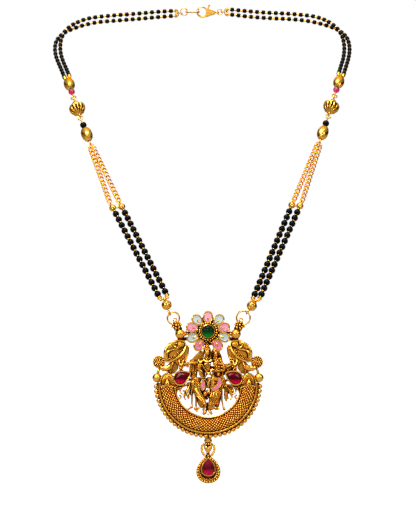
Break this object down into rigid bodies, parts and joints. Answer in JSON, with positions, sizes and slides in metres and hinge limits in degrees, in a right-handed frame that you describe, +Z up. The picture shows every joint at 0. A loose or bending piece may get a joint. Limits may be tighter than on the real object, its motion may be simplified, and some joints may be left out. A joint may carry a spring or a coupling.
{
  "type": "mangalsutra necklace",
  "caption": "Long two-strand black bead necklace with gold chains, carrying a large crescent pendant in antique gold with red, green and pink stones and a hanging drop.",
  "frame": {"origin": "at the nape of the neck, where the clasp's row lies, in the pendant's plane of symmetry", "axes": "+Z up, the front of the neck towards -Y, +X to the right as seen from the front"},
  "size_m": [0.1646, 0.1504, 0.2548],
  "materials": {
    "gold": "bright polished gold plate",
    "old_gold": "antique gold plate, blackened in its hollows",
    "black_glass": "glossy black glass",
    "ruby_glass": "dark red glass",
    "red_stone": "cut and polished, foil backed",
    "green_stone": "polished cabochon",
    "pink_enamel": "glossy pink stone paste",
    "aqua_enamel": "glossy pale blue stone paste"
  },
  "bodies": {
    "necklace": {"clasp_body": "gold", "clasp_link": "gold", "clasp_ring_left": "gold", "clasp_ring_right": "gold", "end_cap_left": "gold", "end_cap_right": "gold", "strand_left_outer": "black_glass", "strand_left_inner": "black_glass", "strand_right_outer": "black_glass", "strand_right_inner": "black_glass", "upper_oval_left": "gold", "upper_oval_right": "gold", "ruby_bead_left": "ruby_glass", "ruby_bead_right": "ruby_glass", "upper_pin_left": "gold", "upper_pin_right": "gold", "lantern_bead_left": "gold", "lantern_bead_right": "gold", "lantern_pin_left": "gold", "lantern_pin_right": "gold", "black_bead_left": "black_glass", "black_bead_right": "black_glass", "lower_oval_left": "gold", "lower_oval_right": "gold", "lower_pin_left": "gold", "lower_pin_right": "gold", "chain_ring_left": "gold", "chain_ring_right": "gold", "chain_left_outer": "gold", "chain_left_inner": "gold", "chain_right_outer": "gold", "chain_right_inner": "gold", "ball_pair_left": "gold", "ball_pair_right": "gold", "string_left_outer": "black_glass", "string_left_inner": "black_glass", "string_right_outer": "black_glass", "string_right_inner": "black_glass", "string_wire_left_outer": "gold", "string_wire_left_inner": "gold", "string_wire_right_outer": "gold", "string_wire_right_inner": "gold", "end_cups_left": "gold", "end_cups_right": "gold", "round_bead_left": "gold", "round_bead_right": "gold", "end_pin_left": "gold", "end_pin_right": "gold", "jump_ring_left": "gold", "jump_ring_right": "gold"},
    "pendant": {"pendant_setting": "old_gold", "green_cabochon": "green_stone", "pink_stones": "pink_enamel", "aqua_stones": "aqua_enamel", "pear_stone_left": "red_stone", "pear_stone_right": "red_stone"},
    "drop": {"drop_setting": "old_gold", "drop_stone": "red_stone"},
    "lever": {"clasp_lever": "gold"}
  },
  "joints": [
    {"name": "pendant_swing", "type": "hinge", "parent": "necklace", "child": "pendant", "pos_m": [0, -0.145, -0.1702], "axis": [1, 0, 0], "range_deg": [-25, 25]},
    {"name": "drop_swing", "type": "hinge", "parent": "pendant", "child": "drop", "pos_m": [0, -0.1438, -0.2282], "axis": [1, 0, 0], "range_deg": [-25, 25]},
    {"name": "lever_turn", "type": "hinge", "parent": "necklace", "child": "lever", "pos_m": [-0.0002, 0, 0.0012], "axis": [0, -1, 0], "range_deg": [0, 16], "stiffness_Nm_per_rad": 0.0005, "springref_deg": -28.65}
  ]
}
